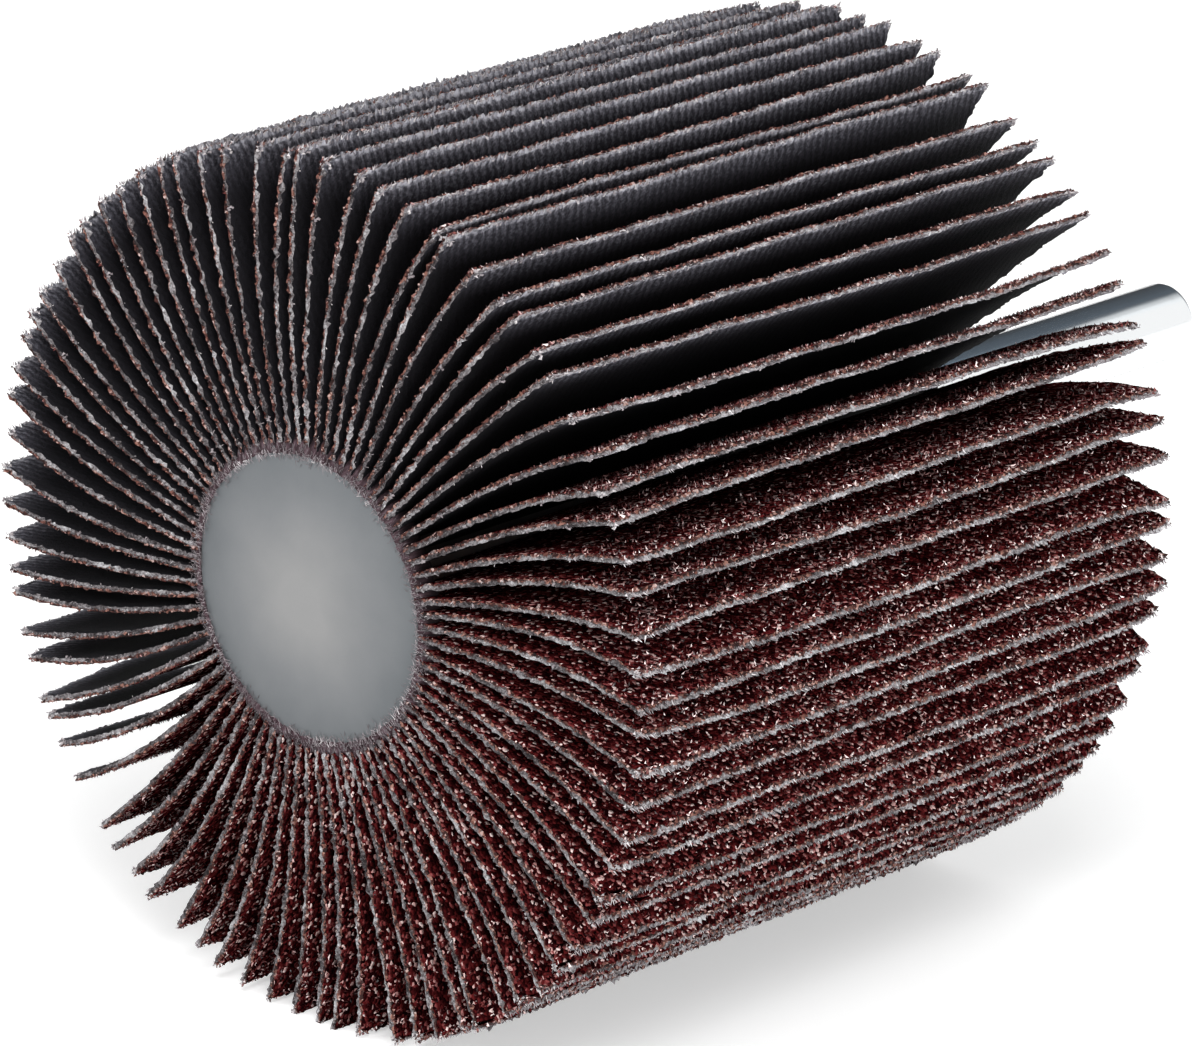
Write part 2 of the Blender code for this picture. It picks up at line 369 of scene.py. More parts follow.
# %% [markdown]
# The grit is angular crystal, crushed and held in a brown resin. P60 grains are about a
# quarter of a millimetre, and each one has its own tone: most are dark red-brown, a few
# are pinkish, and the palest cells, near white, are painted glints where a clear grain
# would catch the light. Noise would blur them together, so a Voronoi texture splits the
# surface into cells of that size. Each gets one random tone, and the distance to its
# middle lifts it in the bump.

# %% Grit coat
GRAIN_MM = 0.24


def grain_cells(tree, size_mm):
    """Cells of a real size in object space: a random number for each, and its height."""
    place = add_node(tree, "ShaderNodeTexCoord")
    cells = add_node(tree, "ShaderNodeTexVoronoi",
                     {"Vector": place.outputs["Object"], "Scale": 1 / (size_mm * MM)})
    number = add_node(tree, "ShaderNodeSeparateXYZ", {0: cells.outputs["Color"]})
    return number.outputs[0], cells.outputs["Distance"]


def grit_coat():
    """Crushed grit in resin: dark red cells that scatter light, a few pinkish, the palest near
    white as painted glints.
    """
    material, tree, shader = new_material("aluminium_oxide_grit_in_resin")
    number, distance = grain_cells(tree, GRAIN_MM)
    # The near-white top of this ramp is painted glints, where a clear grain would catch the light.
    ramp = add_node(tree, "ShaderNodeValToRGB", {"Fac": number},
                    stops=[(0.0, "#0d0304"), (0.45, "#2b0a0c"), (0.78, "#561b1c"),
                           (0.9, "#834343"), (0.94, "#c29490"), (1.0, "#e8d2ce")])
    bump = add_node(tree, "ShaderNodeBump",
                    {"Height": distance, "Strength": 1.0, "Distance": 0.22 * MM}, invert=True)
    feed(shader, {"Base Color": ramp.outputs[0], "Normal": bump.outputs[0],
                  "Roughness": 0.5, "Specular IOR Level": 0.0})
    return material


# %% [markdown]
# A cut through the leaf shows both layers: pale broken cotton on the cloth's side and
# crushed grit on the other. Two materials with a straight seam would look like paint. So
# each point of a leaf carries its depth, from 0 on the cloth side to 1 on the grit side,
# and noise is added before that number picks the layer. The seam is then ragged, and in
# places the cotton fluffs up over the grit. It is palest at the tips, where wear opens it.

# %% Cut edge
FLUFF_MM = 1.0
FIBRE_MM = 0.22
WEAR_MM = 3.0
TIP_WEAR_MM = 2.0
FLUFF_REACH = -2.6
LAYER_START, LAYER_END = -0.80, -0.58
BARED_START_MM, BARED_END_MM = 0.6, 0.1


def cut_edge():
    """Sheared cloth and grit: matt fibres, grey to off-white, beside brown crumbs."""
    material, tree, shader = new_material("sheared_cotton_and_grit")
    place = add_node(tree, "ShaderNodeTexCoord")
    depth = add_node(tree, "ShaderNodeAttribute", attribute_name="depth")
    fluff = add_node(tree, "ShaderNodeTexNoise",
                     {"Vector": place.outputs["Object"], "Scale": 1 / (FLUFF_MM * MM),
                      "Detail": 5.0, "Roughness": 0.75})
    shifted = add_node(tree, "ShaderNodeMath",
                       {0: fluff.outputs["Fac"], 1: FLUFF_REACH, 2: depth.outputs["Fac"]},
                       operation="MULTIPLY_ADD")
    bared = near_tip(tree, BARED_START_MM, 0.0, 0.14, end_mm=BARED_END_MM)
    grit_share = add_node(tree, "ShaderNodeMath", {0: shifted.outputs[0], 1: bared},
                          operation="ADD")
    layer = add_node(tree, "ShaderNodeMapRange",
                     {"Value": grit_share.outputs[0], "From Min": LAYER_START,
                      "From Max": LAYER_END})
    threads = add_node(tree, "ShaderNodeTexNoise",
                       {"Vector": place.outputs["Object"], "Scale": 1 / (FIBRE_MM * MM),
                        "Detail": 5.0, "Roughness": 0.75})
    wear = add_node(tree, "ShaderNodeTexNoise",
                    {"Vector": place.outputs["Object"], "Scale": 1 / (WEAR_MM * MM), "Detail": 2.0})
    tone = add_node(tree, "ShaderNodeMath",
                    {0: wear.outputs["Fac"], 1: 0.7, 2: threads.outputs["Fac"]},
                    operation="MULTIPLY_ADD")
    worn = near_tip(tree, TIP_WEAR_MM, -0.96, -0.84)
    paleness = add_node(tree, "ShaderNodeMath", {0: tone.outputs[0], 1: 1.6, 2: worn},
                        operation="MULTIPLY_ADD")
    cotton = add_node(tree, "ShaderNodeValToRGB", {"Fac": paleness.outputs[0]},
                      stops=[(0.12, "#1d1819"), (0.33, "#534e50"), (0.55, "#898587"),
                             (0.85, "#cacacd")])
    number, _ = grain_cells(tree, 0.8 * GRAIN_MM)
    grit = add_node(tree, "ShaderNodeValToRGB", {"Fac": number},
                    stops=[(0.0, "#150908"), (0.45, "#3b1e1b"), (0.75, "#70483f"),
                           (0.9, "#936a5e"), (1.0, "#c6aea9")])
    colour = add_node(tree, "ShaderNodeMix",
                      {0: layer.outputs[0], 6: cotton.outputs[0], 7: grit.outputs[0]},
                      data_type="RGBA")
    bump = add_node(tree, "ShaderNodeBump",
                    {"Height": threads.outputs["Fac"], "Strength": 1.0, "Distance": 0.16 * MM})
    feed(shader, {"Base Color": colour.outputs[2], "Normal": bump.outputs[0],
                  "Roughness": 0.85, "Specular IOR Level": 0.25})
    return material


# %% [markdown]
# Single grains and fibres are real little solids, so that they break the outline. A
# texture would give a small solid several tones at once. Instead a random number is
# stored on each one, and the material turns that number into its tone.

# %% Grains and fibres
def toned(name, stops, roughness, specular):
    """A finish that takes its colour from the number stored on each grain or fibre."""
    material, tree, shader = new_material(name)
    tone = add_node(tree, "ShaderNodeAttribute", attribute_name="tone")
    ramp = add_node(tree, "ShaderNodeValToRGB", {"Fac": tone.outputs["Fac"]}, stops)
    feed(shader, {"Base Color": ramp.outputs[0], "Roughness": roughness,
                  "Specular IOR Level": specular})
    return material


# Crushed crystal breaks in glassy faces: dark red-brown, one in six pink or nearly clear; the
# near-white end of the ramp is partly those clear grains and partly painted glints.
broken_grains = toned("broken_aluminium_oxide_grains",
                      [(0.0, "#130506"), (0.4, "#391214"), (0.68, "#672b2a"),
                       (0.84, "#986260"), (0.92, "#d2aaa7"), (1.0, "#f6e4e2")],
                      roughness=0.3, specular=0.4)
# Worn yarn has lost its dye: matt, from grey to off-white.
frayed_fibre = toned("frayed_cotton_fibre",
                     [(0.0, "#5d5659"), (0.5, "#968e91"), (1.0, "#d6d1d2")],
                     roughness=0.9, specular=0.2)
leaf_materials = [twill_cloth(), grit_coat(), cut_edge(), broken_grains, frayed_fibre]
CLOTH, GRIT, CUT, GRAIN, FIBRE = range(len(leaf_materials))
print(f"{len(leaf_materials)} finishes on a leaf")

# %% [markdown]
# A leaf starts flat, as it does in the factory. It could be one grid fine enough for its
# ragged edges, but its flat middle would waste most of the faces. So the sheet is a
# coarse grid with a narrow border, only the border's outer edges are divided finely, and
# solidify gives it thickness. Every fine point along the cut is then pushed about at
# random, which is what shears do to grit and cotton.

# %% One flat leaf
FLAP_THICKNESS = 0.42 * MM
ROOT_DEPTH = 0.6 * MM
BORDER = 0.40 * MM
COARSE_ACROSS, COARSE_OUT = 18, 8
TIP_CUTS, SIDE_CUTS = 13, 8
EDGE_ROWS = 3


def leaf_sheet():
    """The bare leaf: X out from the core, Y across the wheel, Z from cloth to grit."""
    shape = bmesh.new()
    bmesh.ops.create_grid(shape, x_segments=COARSE_OUT, y_segments=COARSE_ACROSS, size=1)
    length = reach + ROOT_DEPTH
    bmesh.ops.scale(shape, vec=(length / 2, flap_width / 2, 1), verts=shape.verts)
    bmesh.ops.translate(shape, vec=(reach - length / 2, flap_width / 2, 0), verts=shape.verts)
    bmesh.ops.inset_region(shape, faces=shape.faces[:], thickness=BORDER,
                           use_boundary=True, use_even_offset=True)
    past_root = -ROOT_DEPTH + BORDER / 10
    for along_tip, cuts in ((True, TIP_CUTS), (False, SIDE_CUTS)):
        side = []
        for edge in shape.edges:
            a, b = (vertex.co for vertex in edge.verts)
            outer = len(edge.link_faces) == 1 and max(a.x, b.x) > past_root
            if outer and (abs(a.y - b.y) > abs(a.x - b.x)) == along_tip:
                side.append(edge)
        bmesh.ops.subdivide_edges(shape, edges=side, cuts=cuts)
    bmesh.ops.solidify(shape, geom=shape.faces[:], thickness=FLAP_THICKNESS)
    lift = -FLAP_THICKNESS / 2 - min(vertex.co.z for vertex in shape.verts)
    bmesh.ops.translate(shape, vec=(0, 0, lift), verts=shape.verts)
    upright = [edge for edge in shape.edges
               if abs(edge.verts[0].co.z - edge.verts[1].co.z) > FLAP_THICKNESS / 2]
    bmesh.ops.subdivide_edges(shape, edges=upright, cuts=EDGE_ROWS - 1, use_grid_fill=True)
    bmesh.ops.recalc_face_normals(shape, faces=shape.faces)
    return shape


def paint_leaf(shape):
    """Mark each face's layer, each point's depth, and the leaf's flat millimetres."""
    flat = shape.loops.layers.uv.new("leaf_mm")
    depth = shape.verts.layers.float.new("depth")
    for vertex in shape.verts:
        vertex[depth] = vertex.co.z / FLAP_THICKNESS + 0.5
    for face in shape.faces:
        face.material_index = CUT
        if abs(face.normal.z) > 0.5:
            face.material_index = GRIT if face.normal.z > 0 else CLOTH
            face.smooth = True
        for loop in face.loops:
            loop[flat].uv = (loop.vert.co.y / MM, loop.vert.co.x / MM)


# %% Roughen the cut sides
TIP_ROUGHNESS, SIDE_ROUGHNESS = 0.13 * MM, 0.11 * MM
CLUMP_SIZE = 0.6 * MM
CORNER_WEAR, CORNER_WIDTH = 0.45 * MM, 0.9 * MM
COTTON_LEAD = 0.22 * MM


def roughen_cut(shape, rng, clump_seed):
    """Push the fine points about, wear the corners and let the cotton lead the grit."""
    for vertex in shape.verts:
        at_tip = vertex.co.x > reach - BORDER / 2
        to_side = min(vertex.co.y, flap_width - vertex.co.y)
        at_side = to_side < BORDER / 2
        if not (at_tip or at_side):
            continue
        grit_side = vertex.co.z > 0
        amount = TIP_ROUGHNESS if at_tip else SIDE_ROUGHNESS
        side = -1 if vertex.co.y < flap_width / 2 else 1
        clump = noise.noise(Vector((vertex.co.x, vertex.co.y, clump_seed)) / CLUMP_SIZE)
        out = Vector((1 if at_tip else 0, side if at_side else 0, 0))
        vertex.co += out * (rng.gauss(-0.2, 0.8) + 0.5 * clump) * amount
        vertex.co.x += rng.gauss(0, 0.25) * amount
        if at_tip:
            rib = math.sin(2 * math.pi * vertex.co.y / MM / RIB_SPACING_MM)
            vertex.co.x += 0 if grit_side else 0.5 * rib * amount
            vertex.co.x -= CORNER_WEAR * math.exp(-to_side / CORNER_WIDTH)
            vertex.co.x -= COTTON_LEAD * vertex.co.z / FLAP_THICKNESS
        if abs(vertex.co.z) > 0.4 * FLAP_THICKNESS:
            swell = (rng.gauss(0.1, 0.55) + 0.3 * clump) * amount * 0.6
            vertex.co.z += swell if grit_side else -swell


# %% [markdown]
# Grains and fibres are both cones with three sides, four faces each: squat and turned
# every way for a grain, long and thin for a fibre. Particles could scatter them, but a
# list of cones can be placed by rule: crowded along the cut and thinner over the band of
# grit that shows between the leaves. Each rib of the twill ends in a short stub of yarn
# at the tip, and worn cotton mats together at the corners.

# %% Spikes: one shape for grains and fibres
SPIKE_LOT = 150


def add_spikes(mesh, spikes):
    """Add three-sided cones to a mesh, in lots, as create_cone is slow in a big bmesh."""
    spikes = list(spikes)
    whole = bmesh.new()
    whole.from_mesh(mesh)
    for start in range(0, len(spikes), SPIKE_LOT):
        lot = bmesh.new()
        tones = lot.faces.layers.float.new("tone")
        depths = lot.verts.layers.float.new("depth")
        for place, turn, width, length, material_index, tone in spikes[start:start + SPIKE_LOT]:
            cone = bmesh.ops.create_cone(
                lot, cap_ends=True, segments=3, radius1=width / 2, radius2=0, depth=length,
                matrix=Matrix.Translation(place) @ turn.to_matrix().to_4x4())
            for vertex in cone["verts"]:
                vertex[depths] = 1
            for face in {face for vertex in cone["verts"] for face in vertex.link_faces}:
                face.material_index = material_index
                face[tones] = tone
        lot_mesh = mesh_from(lot, "lot")
        whole.from_mesh(lot_mesh)
        bpy.data.meshes.remove(lot_mesh)
    whole.to_mesh(mesh)
    whole.free()


def any_turn(rng):
    """A random turn, every way alike."""
    return Euler([rng.uniform(0, 2 * math.pi) for _ in range(3)])


def any_lean(rng, out, spread):
    """A random turn that leans roughly out."""
    lean = out + Vector([rng.gauss(0, spread) for _ in range(3)])
    return lean.to_track_quat("Z", "Y")


# %% Grains on a leaf
EDGE_GRAINS = 340
BRIGHTEST_EDGE_GRAIN = 0.88
DUSTY_SIDE, DUSTY_TIP = 0.85, 0.5
BAND_GRAINS = 1120
BAND_START, BAND_DEPTH = 0.25 * MM, 5.5 * MM
# Grains this near the tip are painted paler: a painted highlight where the tip catches the light.
PAINTED_TIP_SHINE, PAINTED_SHINE_DEPTH = 0.2, 0.8 * MM


def point_on_cut(rng):
    """A random place along the three cut sides, and the direction out of the leaf."""
    along = rng.uniform(0, 2 * reach + flap_width)
    if along < reach:
        return Vector((along, 0, 0)), Vector((0, -1, 0))
    if along < reach + flap_width:
        return Vector((reach, along - reach, 0)), Vector((1, 0, 0))
    return Vector((along - reach - flap_width, flap_width, 0)), Vector((0, 1, 0))


def grains(rng):
    """Grit on the cut, part of it dusty, and upright on the outer band of the grit face."""
    top = FLAP_THICKNESS / 2
    for _ in range(EDGE_GRAINS):
        size = rng.uniform(0.5, 1.0) * GRAIN_MM * MM
        place, out = point_on_cut(rng)
        place += out * rng.uniform(-0.9, -0.1) * size
        place.z = rng.uniform(-0.1, 1.1) * top
        place.x -= COTTON_LEAD * place.z / FLAP_THICKNESS * out.x
        dusty = DUSTY_TIP if out.x else DUSTY_SIDE
        finish = CUT if rng.random() < dusty else GRAIN
        yield (place, any_turn(rng), 1.1 * size, 0.9 * size, finish,
               BRIGHTEST_EDGE_GRAIN * rng.random())
    for _ in range(BAND_GRAINS):
        size = rng.uniform(0.55, 1.05) * GRAIN_MM * MM
        depth = BAND_START + BAND_DEPTH * rng.random() ** 1.5
        place = Vector((reach - depth, rng.uniform(0, flap_width), 1.15 * top))
        # Nearer the tip a grain gets a paler tone: a painted highlight.
        tone = rng.random() + PAINTED_TIP_SHINE * math.exp(-depth / PAINTED_SHINE_DEPTH)
        yield (place, any_lean(rng, Vector((0, 0, 1)), 0.4), size, 1.6 * size, GRAIN,
               min(tone, 1))


# %% Fibres on a leaf
STUBS_PER_RIB = 3
EDGE_FIBRES = 90
FLUFF_CLUMPS, CLUMP_STUBS = 6, 6
CORNER_STUBS = 26


def fluff(rng, place, out, count, size, pale):
    """A matted clump of cotton: stubby cones laid every way, and a few thin ends."""
    for number in range(count):
        spot = place + Vector([rng.gauss(0, 0.2) * size for _ in range(3)])
        if number % 4:
            turn = any_lean(rng, out, 1.2)
            width, length = rng.uniform(0.14, 0.26) * MM, rng.uniform(0.2, 0.32) * MM
        else:
            turn = any_lean(rng, out, 0.8)
            width, length = 0.05 * MM, rng.uniform(0.5, 0.9) * size
        yield spot, turn, width, length, FIBRE, rng.uniform(0.5 * pale, pale)


def fibres(rng):
    """Yarn stubs at the tip, cotton ends along the cut, and matted, curled corners."""
    spacing = RIB_SPACING_MM * MM / STUBS_PER_RIB
    for number in range(int(flap_width / spacing)):
        across = (number + 0.5 + rng.gauss(0, 0.15)) * spacing
        place = Vector((reach + 0.05 * MM, across, -rng.uniform(0.2, 0.55) * FLAP_THICKNESS))
        turn = any_lean(rng, Vector((1, 0, -0.25)), 0.35)
        yield (place, turn, rng.uniform(0.11, 0.2) * MM, rng.uniform(0.25, 0.5) * MM, FIBRE,
               rng.random())
    for _ in range(EDGE_FIBRES):
        place, out = point_on_cut(rng)
        place.z = -rng.uniform(-0.4, 1) * FLAP_THICKNESS / 2
        length = rng.uniform(0.15, 0.45) * MM
        yield place, any_lean(rng, out, 0.9), 0.07 * MM, length, FIBRE, rng.random()
    for _ in range(FLUFF_CLUMPS):
        place, out = point_on_cut(rng)
        place.z = -0.3 * FLAP_THICKNESS
        yield from fluff(rng, place, out, CLUMP_STUBS, rng.uniform(0.2, 0.5) * MM, 0.5)
    for corner, side in ((0, -1), (flap_width, 1)):
        inner = corner - side * 0.2 * MM
        place = Vector((reach - CORNER_WEAR, inner, -0.3 * FLAP_THICKNESS))
        size = rng.choice((0.35, 0.5, 0.7)) * MM
        yield from fluff(rng, place, Vector((1, side, -0.8)), CORNER_STUBS, size, 0.95)


# %% [markdown]
# Each leaf on the wheel is torn in its own way. Eighty different ones would take long to
# make, and a single one would show as a stamp. A few patterns, dealt out so that none
# soon comes again and then bent differently, look like eighty.

# %% Make a few different flat leaves
LEAF_PATTERNS = 8


def flat_leaf(seed):
    """A finished flat leaf as a mesh."""
    rng = random.Random(seed)
    shape = leaf_sheet()
    shape.faces.layers.float.new("tone")
    paint_leaf(shape)
    roughen_cut(shape, rng, clump_seed=0.01 * seed)
    mesh = mesh_from(shape, f"flat_leaf_{seed}")
    add_spikes(mesh, grains(rng))
    add_spikes(mesh, fibres(rng))
    for material in leaf_materials:
        mesh.materials.append(material)
    return mesh


flat_leaves = [flat_leaf(seed) for seed in range(LEAF_PATTERNS)]
flat_places = []
for mesh in flat_leaves:
    places = np.empty(len(mesh.vertices) * 3, np.float32)
    mesh.vertices.foreach_get("co", places)
    flat_places.append(places.reshape(-1, 3).astype(float))
triangles = sum(len(face.vertices) - 2 for face in flat_leaves[-1].polygons)
print(f"{LEAF_PATTERNS} leaf patterns, the last has {triangles} triangles")

# %% [markdown]
# Eighty leaves stand round the core. Each one leaves the resin square to it and bends
# back, clockwise seen from the front, with its grit on the outside of the bend. Handling
# has pushed two runs together, which opens the gaps next to them. The places could be
# read off the photograph one by one, but the rule that the solid model uses, with the
# same seeds, puts each leaf where its solid is.

# %% Where each leaf lies
FLAP_COUNT = 80
SOLID_FLAP_THICKNESS = 0.66 * MM
FIRST_FLAP_ANGLE = math.radians(-1.15)
FLAP_SWEEP = math.radians(3.4)
BEND_POWER = 1.9
FLAP_BOW = 0.30 * MM
WANDER_SHARE = 0.32
# Each run of gathered leaves ends at the first angle; the second is its last leaf's push.
GATHERS = ((math.radians(104), math.radians(3.0)), (math.radians(228), math.radians(4.3)))
GATHER_FADE = math.radians(10)
STRAY_SEED, BOW_SEED, FORM_SEED = 11, 23, 5
pitch = 2 * math.pi / FLAP_COUNT


def root_angle(index):
    """Where a leaf stands on the core, counter-clockwise from +X seen from the front."""
    return FIRST_FLAP_ANGLE + index * pitch


def gathered_sweep(root):
    """How far a leaf's tip trails its root."""
    sweep = FLAP_SWEEP
    for end_angle, extra in GATHERS:
        if root <= end_angle:
            sweep += extra * math.exp((root - end_angle) / GATHER_FADE)
    return sweep


def flap_sweeps():
    """Every leaf's sweep, with a stray of its own into the free gap beside it."""
    sweeps = [gathered_sweep(root_angle(index)) for index in range(FLAP_COUNT)]
    tip_angle = 1.1 * SOLID_FLAP_THICKNESS / wheel_radius
    free = []
    for index in range(FLAP_COUNT):
        ahead = sweeps[(index + 1) % FLAP_COUNT]
        free.append(pitch - ahead + sweeps[index] - tip_angle)
    rng = random.Random(STRAY_SEED)
    strayed = []
    for index, sweep in enumerate(sweeps):
        room = WANDER_SHARE * min(free[index - 1], free[index])
        strayed.append(sweep + room * rng.uniform(-1, 1))
    return strayed


print(f"{FLAP_COUNT} leaves, {wheel_radius * pitch / MM:.2f} mm apart at their tips")

# %% [markdown]
# No leaf is quite flat, so each gets a slight twist, wave, ripple and curled corners of
# its own. Modifiers could bend it, but a leaf's centre line is a plain formula. So all its
# points are moved at once from the flat to the wheel: along the line by their distance
# out, and square to it by their height in the leaf.

# %% Bend a flat leaf onto the wheel
FLOOR_GAP = 0.02 * MM
TWIST_DEGREES, WAVE_DEGREES, CURL_DEGREES = 0.35, 0.16, 0.45
WAVE_ANGLE = 2.2 * math.pi
CORNER_LENGTH = 4.0 * MM
LENGTH_SPREAD = 0.006
REAR_FLARE = 0.018
RIPPLE = 0.035 * MM / wheel_radius
RIPPLE_LENGTHS = (8 * MM, 14 * MM)
SHARE_STEP = 0.002


def bend_leaf(flat, root, sweep, bow, rng):
    """Move flat points to their place on the wheel."""
    out, across, height = flat[:, 0], flat[:, 1], flat[:, 2]
    middle = (across - flap_width / 2) / flap_width
    twist = math.radians(rng.gauss(0, TWIST_DEGREES))
    wave = math.radians(rng.gauss(0, WAVE_DEGREES))
    swing = rng.uniform(0, 2 * math.pi)
    stretch = 1 + rng.gauss(0, LENGTH_SPREAD) + REAR_FLARE * across / flap_width
    local_sweep = sweep + twist * middle + wave * np.sin(WAVE_ANGLE * middle + swing)
    for length in RIPPLE_LENGTHS:
        start = rng.uniform(0, 2 * math.pi)
        local_sweep = local_sweep + RIPPLE * np.sin(2 * math.pi * across / length + start)
    for distance in (across, flap_width - across):
        curl = math.radians(rng.gauss(0, CURL_DEGREES))
        local_sweep = local_sweep + curl * np.exp(-np.clip(distance, 0, None) / CORNER_LENGTH)

    def centre_line(share):
        """X and height above the axis, at a share of the way out to the tip."""
        radius = CORE_RADIUS + reach * share * stretch
        angle = root - local_sweep * np.clip(share, 0, None) ** BEND_POWER
        angle = angle + bow * np.sin(math.pi * np.clip(share, 0, 1)) / radius
        return radius * np.cos(angle), radius * np.sin(angle)

    x_before, z_before = centre_line(out / reach - SHARE_STEP)
    x_after, z_after = centre_line(out / reach + SHARE_STEP)
    x, z = centre_line(out / reach)
    size = np.hypot(x_after - x_before, z_after - z_before)
    x = x - (z_after - z_before) / size * height
    z = z + (x_after - x_before) / size * height
    z = np.maximum(z + axis_height, FLOOR_GAP)
    return np.stack([x, front_plane + across, z], axis=1)


# %% Set the leaves round the core
def hand_over(piece, node):
    """Fix a piece to the wheel's one body, in place of a node of the solid model."""
    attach(piece, "root")
    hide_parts(node)


rng_bow = random.Random(BOW_SEED)
rng_form = random.Random(FORM_SEED)
used = []
for index, sweep in enumerate(flap_sweeps()):
    fresh = [number for number in range(LEAF_PATTERNS) if number not in used[-3:]]
    pattern = rng_form.choice(fresh)
    used.append(pattern)
    bent = bend_leaf(flat_places[pattern], root_angle(index), sweep,
                     FLAP_BOW * rng_bow.random(), rng_form)
    mesh = flat_leaves[pattern].copy()
    mesh.name = f"leaf_{index + 1:02d}"
    mesh.vertices.foreach_set("co", bent.astype(np.float32).ravel())
    mesh.update()
    hand_over(new_object(mesh.name, mesh), "flap_pack")
print(f"{len(used)} leaves, {used.count(used[0])} from the first one's pattern")

# %% [markdown]
# The core is cast epoxy resin. Only a little of it shows, dark brown at the bottom of the
# gaps. A cylinder could have holes cut in it, but a ring with a recess for a disc at each
# end is simpler as a half section, drawn and spun once round the axis.

# %% Resin core
RESIN_RADIUS = CORE_RADIUS - 0.25 * MM
BORE_RADIUS = 3.55 * MM
CORE_STEPS = 96
RECESS_RADIUS = disc_radius + 0.3 * MM
RECESS_DEPTH, END_DEPTH = 1.65 * MM, 0.3 * MM
SHARP_FROM = math.radians(35)
MERGE_DISTANCE = 0.001 * MM


def spun(name, section, steps):
    """Spin a closed section of (radius, place along the axis) round the wheel's axis."""
    shape = bmesh.new()
    corners = [shape.verts.new((radius, along, axis_height)) for radius, along in section]
    edges = [shape.edges.new(pair) for pair in zip(corners, corners[1:] + corners[:1])]
    bmesh.ops.spin(shape, geom=corners + edges, cent=(0, 0, axis_height), axis=(0, 1, 0),
                   angle=2 * math.pi, steps=steps, use_merge=True)
    bmesh.ops.remove_doubles(shape, verts=shape.verts, dist=MERGE_DISTANCE)
    bmesh.ops.recalc_face_normals(shape, faces=shape.faces)
    mesh = mesh_from(shape, name)
    mesh.shade_smooth()
    mesh.set_sharp_from_angle(angle=SHARP_FROM)
    return new_object(name, mesh)


def cast_resin():
    """Cast epoxy: a brown glaze, half glossy, clouded where dust went in."""
    material, tree, shader = new_material("cast_epoxy_resin")
    place = add_node(tree, "ShaderNodeTexCoord")
    mottle = add_node(tree, "ShaderNodeTexNoise",
                      {"Vector": place.outputs["Object"], "Scale": 1 / (0.8 * MM), "Detail": 4.0})
    ramp = add_node(tree, "ShaderNodeValToRGB", {"Fac": mottle.outputs["Fac"]},
                    stops=[(0.3, "#160c0a"), (0.7, "#33211c")])
    feed(shader, {"Base Color": ramp.outputs[0], "Roughness": 0.45})
    return material


half_section = [(BORE_RADIUS, RECESS_DEPTH), (RECESS_RADIUS, RECESS_DEPTH),
                (RECESS_RADIUS, END_DEPTH), (RESIN_RADIUS, END_DEPTH)]
core_section = [(radius, front_plane + depth) for radius, depth in half_section]
core_section += [(radius, rear_plane - depth) for radius, depth in reversed(half_section)]
core = spun("resin_core", core_section, CORE_STEPS)
core.data.materials.append(cast_resin())
hand_over(core, "flap_pack")
print(f"resin core {2 * RESIN_RADIUS / MM:.1f} mm across")

# %% [markdown]
# Round the rim of each disc the ends of the cloth and the resin that was squeezed out
# mat together into a soft brown and purple collar, and pale fibres lie over the metal. A
# texture could only hint at that. So it is a spun ring, deep on its outer side, where the
# leaves rise out of it, and it laps furthest over the disc above and below. Its points
# are pushed about, its streaks run outwards on its own UV map, and the fibres are cones.

# %% Matted cotton
STREAK_MM = 0.3
COLLAR_INNER = disc_radius + 0.02 * MM
COLLAR_OUTER = disc_radius + 1.15 * MM


def matted_cotton():
    """Fibres set in resin: matt brown-grey streaks that run out from the axis, with painted shade
    on the outer side.
    """
    material, tree, shader = new_material("matted_cotton_and_resin")
    place = add_node(tree, "ShaderNodeUVMap", uv_map="ring_mm")
    drawn_out = add_node(tree, "ShaderNodeMapping",
                         {"Vector": place.outputs[0], "Scale": (1, 0.3, 1)})
    streaks = add_node(tree, "ShaderNodeTexNoise",
                       {"Vector": drawn_out.outputs[0], "Scale": 1 / STREAK_MM, "Detail": 4.0,
                        "Roughness": 0.65})
    out = add_node(tree, "ShaderNodeSeparateXYZ", {0: place.outputs[0]})
    # Darker towards the ring's outer side, where the leaves rise over it: painted shade.
    painted_shade_outward = add_node(tree, "ShaderNodeMapRange",
                      {"Value": out.outputs["Y"], "From Min": disc_radius / MM + 0.3,
                       "From Max": COLLAR_OUTER / MM, "To Max": 0.25})
    shade = add_node(tree, "ShaderNodeMath",
                     {0: streaks.outputs["Fac"], 1: painted_shade_outward.outputs[0]}, operation="SUBTRACT")
    ramp = add_node(tree, "ShaderNodeValToRGB", {"Fac": shade.outputs[0]},
                    stops=[(0.3, "#180f12"), (0.46, "#37282d"), (0.58, "#534248"),
                           (0.76, "#84757b")])
    bump = add_node(tree, "ShaderNodeBump",
                    {"Height": streaks.outputs["Fac"], "Strength": 0.8, "Distance": 0.15 * MM})
    feed(shader, {"Base Color": ramp.outputs[0], "Normal": bump.outputs[0],
                  "Roughness": 0.9, "Specular IOR Level": 0.2})
    return material


def unroll_ring(shape):
    """A UV map in millimetres: U round the ring and V out from the axis."""
    ring = shape.loops.layers.uv.new("ring_mm")
    for face in shape.faces:
        middle = face.calc_center_median()
        start = math.atan2(middle.z - axis_height, middle.x)
        for loop in face.loops:
            x, z = loop.vert.co.x, loop.vert.co.z - axis_height
            turned = math.remainder(math.atan2(z, x) - start, 2 * math.pi)
            loop[ring].uv = ((start + turned) * disc_radius / MM, math.hypot(x, z) / MM)


# %% Collars round the discs
COLLAR_STEPS, COLLAR_SIDES = 300, 12
COLLAR_DEPTH_MM, COLLAR_SLOPE_MM, COLLAR_SWELL_MM = 0.56, 0.50, 0.42
COLLAR_LAP = 0.75 * MM
COLLAR_CLUMP, COLLAR_ROUGHNESS_MM = 0.12 * MM, 0.035
COLLAR_FIBRES, FIBRE_SLOT = 3400, 1


